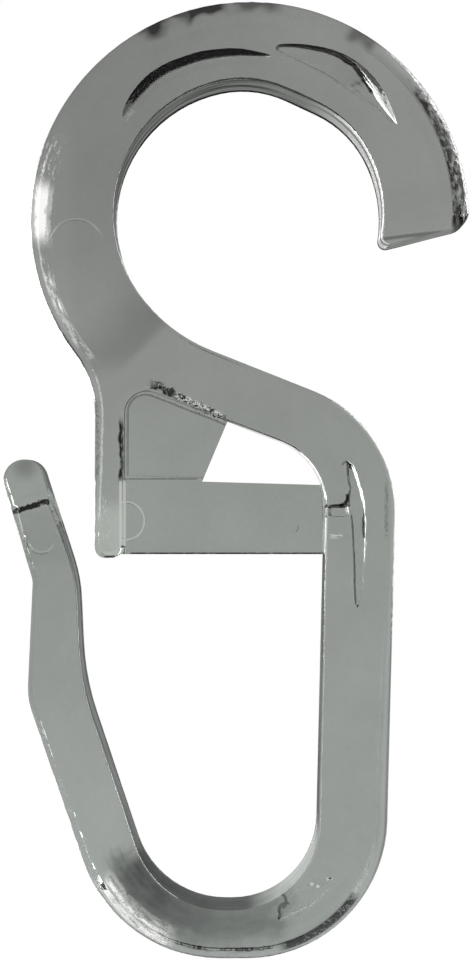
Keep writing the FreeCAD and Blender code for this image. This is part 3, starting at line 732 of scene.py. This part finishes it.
def inner_wall():
    """The walls inside the eye and the loop, which bend no light: painted shade with fine dark lines along
    them.
    """
    material, tree, shader = new_material("inner_wall", PLAIN_IOR)
    spot = Spot(tree)
    tone = inner_wall_shade(tree, spot, spot.stretched(INNER_LINES, INNER_LINE_DETAIL))
    greenish = times(tree, tone, INNER_GREEN)
    colour = node(tree, "ShaderNodeCombineColor", {0: tone, 1: greenish, 2: tone})
    tree.links.new(colour.outputs[0], shader.inputs["Base Color"])
    return material


# Painted shade: a dark line on the wall of the void in the leg.
LEG_VOID_SHADE = Box((4.36, 4.42), (-12.1, -10.75), 0.02, 0.1)
LEG_VOID_LIGHT = 0.02


def void_wall():
    """The wall of a void: it bends the light as the skin does, and is clear but for one dark line of painted
    shade.
    """
    material, tree, shader = new_material("void_wall")
    tone = fade(tree, Spot(tree).box(LEG_VOID_SHADE), LEG_VOID_LIGHT)
    colour = node(tree, "ShaderNodeCombineColor", {0: tone, 1: tone, 2: tone})
    tree.links.new(colour.outputs[0], shader.inputs["Base Color"])
    return material


# Side walls that look towards this point (x, z) in mm are inner walls, apart from the one in this box.
WALL_CENTRE = (-0.5, -9.95)
SHOULDER_WALL = ((0.4, 3.4), (-10.2, -7.9))
# A face is a side wall if its normal has less than this along y, an edge if more, and flat above the last.
SIDE_FACING = 0.3
FLAT_FACING = 0.985
# The eye's inner wall is cut into strips at these depths in mm. Some strips are bright between angles.
EYE_WALL_REACH = 5.4
STRIP_CUTS = (-0.75, -0.25, 0.75)
STRIP_CUT_TOLERANCE = 1e-8
BRIGHT_STRIPS = {0: [(-24.0, 50.0), (-165.0, -142.0)], 2: [(-24.0, 40.0), (-162.0, -140.0)]}
# Boxes in mm (x range, z range) in which small edges bend no light and show only painted colour. Those by web
# and post lie in front of the web's faces or behind them.
WEB_EDGES = ((-5.05, -0.85), (-10.3, -6.5))
POST_EDGES = ((-5.0, -4.3), (-12.5, -9.9))
WEB_DEPTH = 0.42
TIP_EDGES = ((-9.3, -7.0), (-11.6, -10.4))
ARM_EDGES = ((-8.4, -4.0), (-25.3, -11.4))
BEND_EDGES = ((-2.6, 3.2), (-26.9, -24.4))
MOUTH_EDGES = ((4.7, 8.9), (-1.7, 0.1))
# How far the normal of such an edge leans: up or down at tip, mouth and bend, and to the left on the arm.
TIP_LEAN = 0.3
MOUTH_LEAN = -0.1
BEND_LEAN = 0.1
ARM_LEAN = -0.05


def in_box(point, box):
    (left, right), (low, high) = box
    return left < point.x < right and low < point.z < high


def is_eye_wall(face):
    centre = face.calc_center_median() * PER_MM
    return abs(face.normal.y) < SIDE_FACING and math.hypot(centre.x, centre.z) < EYE_WALL_REACH


def is_inner_wall(face):
    """Whether a face is a side wall that looks towards the middle of the hook, apart from bright places."""
    if abs(face.normal.y) > SIDE_FACING:
        return False
    centre = face.calc_center_median() * PER_MM
    inwards = face.normal.x * (WALL_CENTRE[0] - centre.x) + face.normal.z * (WALL_CENTRE[1] - centre.z)
    if inwards <= 0 or in_box(centre, SHOULDER_WALL):
        return False
    if not is_eye_wall(face):
        return True
    angle = math.degrees(math.atan2(centre.z, centre.x))
    strip = sum(centre.y > cut for cut in STRIP_CUTS)
    return not any(low < angle < high for low, high in BRIGHT_STRIPS.get(strip, []))


def is_plain_edge(face):
    """Whether a face is a small edge in one of the places where the edges bend no light."""
    centre = face.calc_center_median() * PER_MM
    normal = face.normal
    if abs(normal.y) > FLAT_FACING:
        return False
    if abs(centre.y) > WEB_DEPTH and (in_box(centre, WEB_EDGES) or in_box(centre, POST_EDGES)):
        return True
    if in_box(centre, TIP_EDGES) and abs(normal.z) > TIP_LEAN:
        return True
    if abs(normal.y) <= SIDE_FACING:
        return False
    if in_box(centre, MOUTH_EDGES) and normal.z < MOUTH_LEAN:
        return True
    if in_box(centre, BEND_EDGES) and normal.z > BEND_LEAN:
        return True
    return in_box(centre, ARM_EDGES) and normal.x < ARM_LEAN


def cut_strips(mesh):
    """Cuts the wall of the eye into strips along it."""
    for depth in STRIP_CUTS:
        parts = set()
        for face in mesh.faces:
            if is_eye_wall(face):
                parts.update([face], face.edges, face.verts)
        bmesh.ops.bisect_plane(mesh, geom=list(parts), plane_co=(0, depth * MM, 0),
                               plane_no=(0, 1, 0), dist=STRIP_CUT_TOLERANCE)


def face_material(face):
    if is_plain_edge(face):
        return SOFT
    return INNER if is_inner_wall(face) else CLEAR


# Shrink voids in the middle of the band, in mm: for stations along each one (x, z, half width, half depth,
# slope at its right, slope at its left). A slope is the share of the half width in which the depth falls off.
VOIDS = {
    "eye_left": [
        (0.86, 6.06, 0.03, 0.05, 1.2, 0.6), (0.55, 6.09, 0.10, 0.20, 1.5, 0.4),
        (-0.30, 6.16, 0.19, 0.40, 1.6, 0.3), (-1.05, 6.12, 0.22, 0.46, 1.6, 0.3),
        (-1.79, 6.00, 0.24, 0.50, 1.6, 0.3), (-2.52, 5.76, 0.25, 0.52, 1.6, 0.3),
        (-3.09, 5.52, 0.25, 0.52, 1.6, 0.3), (-3.65, 5.15, 0.25, 0.52, 1.6, 0.3),
        (-4.04, 4.76, 0.24, 0.50, 1.6, 0.3), (-4.41, 4.29, 0.19, 0.42, 1.6, 0.35),
        (-4.65, 3.92, 0.10, 0.22, 1.5, 0.5), (-4.74, 3.76, 0.03, 0.05, 1.2, 0.6)],
    "eye_right": [
        (5.60, 3.48, 0.04, 0.06, 0.8, 0.3), (5.11, 4.15, 0.28, 0.42, 1.05, 0.15),
        (4.54, 4.79, 0.47, 0.54, 0.80, 0.12), (3.85, 5.36, 0.55, 0.40, 0.36, 0.10),
        (3.13, 5.78, 0.52, 0.29, 0.24, 0.10), (2.37, 6.06, 0.42, 0.23, 0.27, 0.10),
        (1.74, 6.24, 0.30, 0.18, 0.32, 0.12), (1.20, 6.36, 0.16, 0.14, 0.4, 0.3),
        (1.05, 6.39, 0.04, 0.05, 0.5, 0.5)],
    "leg": [
        (3.72, -9.22, 0.03, 0.05, 0.6, 0.6), (3.86, -9.48, 0.15, 0.22, 0.5, 0.5),
        (3.96, -9.95, 0.21, 0.30, 0.3, 0.4), (4.045, -10.25, 0.23, 0.30, 0.25, 0.4),
        (4.06, -10.64, 0.31, 0.30, 0.3, 0.3), (4.125, -11.1, 0.305, 0.30, 0.2, 0.25),
        (4.185, -11.66, 0.285, 0.30, 0.2, 0.25), (4.20, -12.42, 0.26, 0.30, 0.2, 0.25),
        (4.205, -12.99, 0.235, 0.30, 0.25, 0.25), (4.19, -13.6, 0.21, 0.28, 0.3, 0.3),
        (4.18, -14.2, 0.18, 0.24, 0.3, 0.3), (4.14, -14.6, 0.11, 0.18, 0.5, 0.5),
        (4.13, -14.77, 0.03, 0.05, 0.6, 0.6)],
    "leg_branch": [
        (3.0, -11.12, 0.05, 0.06, 0.5, 0.6), (3.1, -11.12, 0.22, 0.20, 0.2, 0.5),
        (3.4, -11.12, 0.26, 0.25, 0.2, 0.5), (3.66, -11.10, 0.27, 0.25, 0.2, 0.6),
        (3.79, -11.08, 0.24, 0.20, 0.25, 0.6)],
    "bend": [
        (3.15, -25.00, 0.04, 0.04, 1.2, 0.3), (2.81, -25.28, 0.27, 0.10, 1.5, 0.15),
        (2.43, -25.53, 0.38, 0.11, 1.6, 0.12), (1.97, -25.80, 0.40, 0.11, 1.6, 0.12),
        (1.52, -26.14, 0.28, 0.11, 1.5, 0.15), (1.25, -26.45, 0.14, 0.10, 1.2, 0.3),
        (1.15, -26.56, 0.04, 0.04, 1.0, 0.5)],
}
VOID_ROUGHNESS = {"eye_left": 0.05, "eye_right": 0.02, "leg": 0.05, "leg_branch": 0.05, "bend": 0.05}
# How finely a void is divided along and across, the size of its grain in mm, how round its crest is,
# its least half width in mm, and the step along its line by which its direction is found.
VOID_STEPS = 110
VOID_ACROSS = 36
VOID_GRAIN = 0.14
VOID_CREST = 0.2
VOID_LEAST_WIDTH = 0.01
VOID_LOOK_AHEAD = 0.005
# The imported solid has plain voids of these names, with their walls within this many mm of the stations.
PACKED_VOIDS = ("eye_left", "eye_right", "leg")
PACKED_VOID_REACH = 0.75


def spline_point(points, t):
    """A point on the smooth line through points, at t from 0 to 1."""
    last = len(points) - 1
    before = min(int(t * last), last - 1)
    part = t * last - before
    near = [points[max(0, min(last, before + k))] for k in (-1, 0, 1, 2)]
    return Vector([
        0.5 * (2 * b + (c - a) * part + (2 * a - 5 * b + 4 * c - d) * part ** 2
               + (3 * b - a - 3 * c + d) * part ** 3)
        for a, b, c, d in zip(*near)])


def void_depth(across, right_slope, left_slope):
    """Share of the full depth at a place across a void, from -1 at its right to 1 at its left."""
    part = max(0.0, min(1.0, (1 + across) / right_slope, (1 - across) / left_slope))
    top = math.hypot(1, VOID_CREST) - VOID_CREST
    return 1 - (math.hypot(1 - part, VOID_CREST) - VOID_CREST) / top


def void_side(stations, t):
    """The direction across a void, in the plane of the hook."""
    ahead = spline_point(stations, min(1, t + VOID_LOOK_AHEAD))
    behind = spline_point(stations, max(0, t - VOID_LOOK_AHEAD))
    way = ahead - behind
    return Vector((-way[1], 0, way[0])).normalized()


def void_rings(mesh, stations, roughness):
    """Rings of points round a void, one after another along its line."""
    spread = [-math.cos(math.pi * k / VOID_ACROSS) for k in range(VOID_ACROSS + 1)]
    outline = [(across, -1) for across in spread] + [(across, 1) for across in spread[-2:0:-1]]
    rings = []
    for step in range(VOID_STEPS + 1):
        t = step / VOID_STEPS
        x, z, width, depth, right_slope, left_slope = spline_point(stations, t)
        side = void_side(stations, t)
        centre = Vector((x, 0, z))
        ring = []
        for across, face in outline:
            high = face * depth * void_depth(across, right_slope, left_slope)
            offset = side * (max(width, VOID_LEAST_WIDTH) * across) + Vector((0, high, 0))
            rough = 1 + roughness * noise.noise((centre + offset) / VOID_GRAIN)
            ring.append(mesh.verts.new((centre + offset * rough) * MM))
        rings.append(ring)
    return rings


def add_void(mesh, name):
    """Adds a closed shell to the mesh, with its faces turned into the void."""
    rings = void_rings(mesh, VOIDS[name], VOID_ROUGHNESS[name])
    count = len(rings[0])
    faces = [mesh.faces.new(rings[0]), mesh.faces.new(rings[-1])]
    for ring, after in zip(rings, rings[1:]):
        for turn in range(count):
            beside = (turn + 1) % count
            faces.append(mesh.faces.new((ring[turn], ring[beside], after[beside], after[turn])))
    bmesh.ops.recalc_face_normals(mesh, faces=faces)
    bmesh.ops.reverse_faces(mesh, faces=faces)
    for face in faces:
        face.smooth = True
        face.material_index = VOID


def in_packed_void(point):
    """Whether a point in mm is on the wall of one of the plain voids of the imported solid."""
    for name in PACKED_VOIDS:
        for station in VOIDS[name]:
            centre = Vector((station[0], 0, station[1]))
            if (centre - point).length < PACKED_VOID_REACH:
                return True
    return False


def build_hook(packed):
    """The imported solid's skin, with voids of their full form in place of its plain ones."""
    data = packed.data.copy()
    data.name = "hook"
    data.materials.clear()
    for material in (clear_plastic(), void_wall(), inner_wall(), plain_edge()):
        data.materials.append(material)
    mesh = bmesh.new()
    mesh.from_mesh(data)
    plain = [face for face in mesh.faces if in_packed_void(face.calc_center_median() * PER_MM)]
    bmesh.ops.delete(mesh, geom=plain, context="FACES")
    cut_strips(mesh)
    for face in mesh.faces:
        face.material_index = face_material(face)
    for name in VOIDS:
        add_void(mesh, name)
    mesh.to_mesh(data)
    mesh.free()
    hook = bpy.data.objects.new("hook", data)
    bpy.context.scene.collection.objects.link(hook)
    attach(hook, "root")
    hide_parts(NODE)


# The studio by direction, from -1 to 1 along each axis: where it grows dark, and how dark it is there.
CEILING_HEIGHT = (0.29, 0.42)
CEILING_RIGHT_END = (0.62, 0.40)
CEILING_DARKNESS = 0.99
LEFT_SIDE = (-0.28, -0.55)
LEFT_FRONT_END = (0.08, 0.30)
LEFT_DARKNESS = 0.65
BEHIND_CAMERA = (-0.60, -0.85)
BEHIND_DARKNESS = 0.90
FILL_LIGHT = 0.85


def light_world():
    """A white studio with a dark ceiling and left side. Reflections also show dark behind the camera."""
    world = bpy.data.worlds.new("studio")
    bpy.context.scene.world = world
    world.use_nodes = True
    tree = world.node_tree
    background = tree.nodes["Background"]
    x, y, z = split(tree, node(tree, "ShaderNodeTexCoord").outputs["Generated"])
    path = node(tree, "ShaderNodeLightPath").outputs
    ceiling = times(tree, ease(tree, z, *CEILING_HEIGHT), ease(tree, x, *CEILING_RIGHT_END),
                    CEILING_DARKNESS)
    left = times(tree, ease(tree, x, *LEFT_SIDE), ease(tree, y, *LEFT_FRONT_END), LEFT_DARKNESS)
    reflected = inverse(tree, path["Is Transmission Ray"])
    behind = times(tree, ease(tree, y, *BEHIND_CAMERA), reflected, BEHIND_DARKNESS)
    studio = inverse(tree, highest(tree, ceiling, left, behind))
    seen = highest(tree, path["Is Glossy Ray"], path["Is Transmission Ray"])
    light = node(tree, "ShaderNodeMix", {"Factor": seen, "A": FILL_LIGHT, "B": studio}, data_type="FLOAT")
    strength = highest(tree, light.outputs[0], path["Is Camera Ray"])
    background.inputs["Color"].default_value = (1, 1, 1, 1)
    tree.links.new(strength, background.inputs["Strength"])


# Lamps: the way to each one from the hook's middle, its distance and size in m, and its brightness.
LAMPS = {
    "lamp_right": ((0.78, 0.52, 0.34), 0.30, (0.20, 0.28), 6.0),
    "lamp_left": ((-0.75, -0.55, 0.1), 0.30, (0.10, 0.20), 4.0),
}
HOOK_MIDDLE = Vector((0, 0, -10 * MM))


def add_lamp(name, towards, distance, size, radiance):
    data = bpy.data.lights.new(name, "AREA")
    data.shape = "RECTANGLE"
    data.size, data.size_y = size
    data.energy = radiance * math.pi * size[0] * size[1]
    light = bpy.data.objects.new(name, data)
    direction = Vector(towards).normalized()
    light.location = direction * distance + HOOK_MIDDLE
    light.rotation_euler = direction.to_track_quat("Z", "Y").to_euler()
    bpy.context.scene.collection.objects.link(light)


# The floor, in m: its size, its height, and the distances from its middle over which it fades to white.
FLOOR_RADIUS = 0.12
FLOOR_SEGMENTS = 96
FLOOR_HEIGHT = -0.06
FLOOR_FADE = (0.03, 0.11)
FLOOR_COLOUR = (0.86, 0.86, 0.86, 1)
FLOOR_ROUGHNESS = 0.9


def floor_material():
    """A pale floor that fades to the white of the background at its border."""
    material = bpy.data.materials.new("floor")
    material.use_nodes = True
    tree = material.node_tree
    shader = tree.nodes["Principled BSDF"]
    shader.inputs["Base Color"].default_value = FLOOR_COLOUR
    shader.inputs["Roughness"].default_value = FLOOR_ROUGHNESS
    white = node(tree, "ShaderNodeEmission", {"Color": (1, 1, 1, 1), "Strength": 1.0})
    place = node(tree, "ShaderNodeTexCoord").outputs["Object"]
    reach = node(tree, "ShaderNodeVectorMath", {0: place}, operation="LENGTH").outputs["Value"]
    path = node(tree, "ShaderNodeLightPath").outputs
    seen = highest(tree, path["Is Camera Ray"], path["Is Glossy Ray"], path["Is Transmission Ray"])
    whiteness = times(tree, ease(tree, reach, *FLOOR_FADE), seen)
    mixed = node(tree, "ShaderNodeMixShader", {0: whiteness, 1: shader.outputs[0], 2: white.outputs[0]})
    tree.links.new(mixed.outputs[0], tree.nodes["Material Output"].inputs["Surface"])
    return material


def lay_floor():
    mesh = bmesh.new()
    bmesh.ops.create_circle(mesh, cap_ends=True, segments=FLOOR_SEGMENTS, radius=FLOOR_RADIUS)
    data = bpy.data.meshes.new("floor")
    mesh.to_mesh(data)
    mesh.free()
    data.materials.append(floor_material())
    floor = bpy.data.objects.new("floor", data)
    floor.location = (0, 0, FLOOR_HEIGHT)
    bpy.context.scene.collection.objects.link(floor)


bpy.context.scene.view_settings.view_transform = "Standard"
place_camera()
light_world()
for lamp_name, settings in LAMPS.items():
    add_lamp(lamp_name, *settings)
lay_floor()
build_hook(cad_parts[NODE])
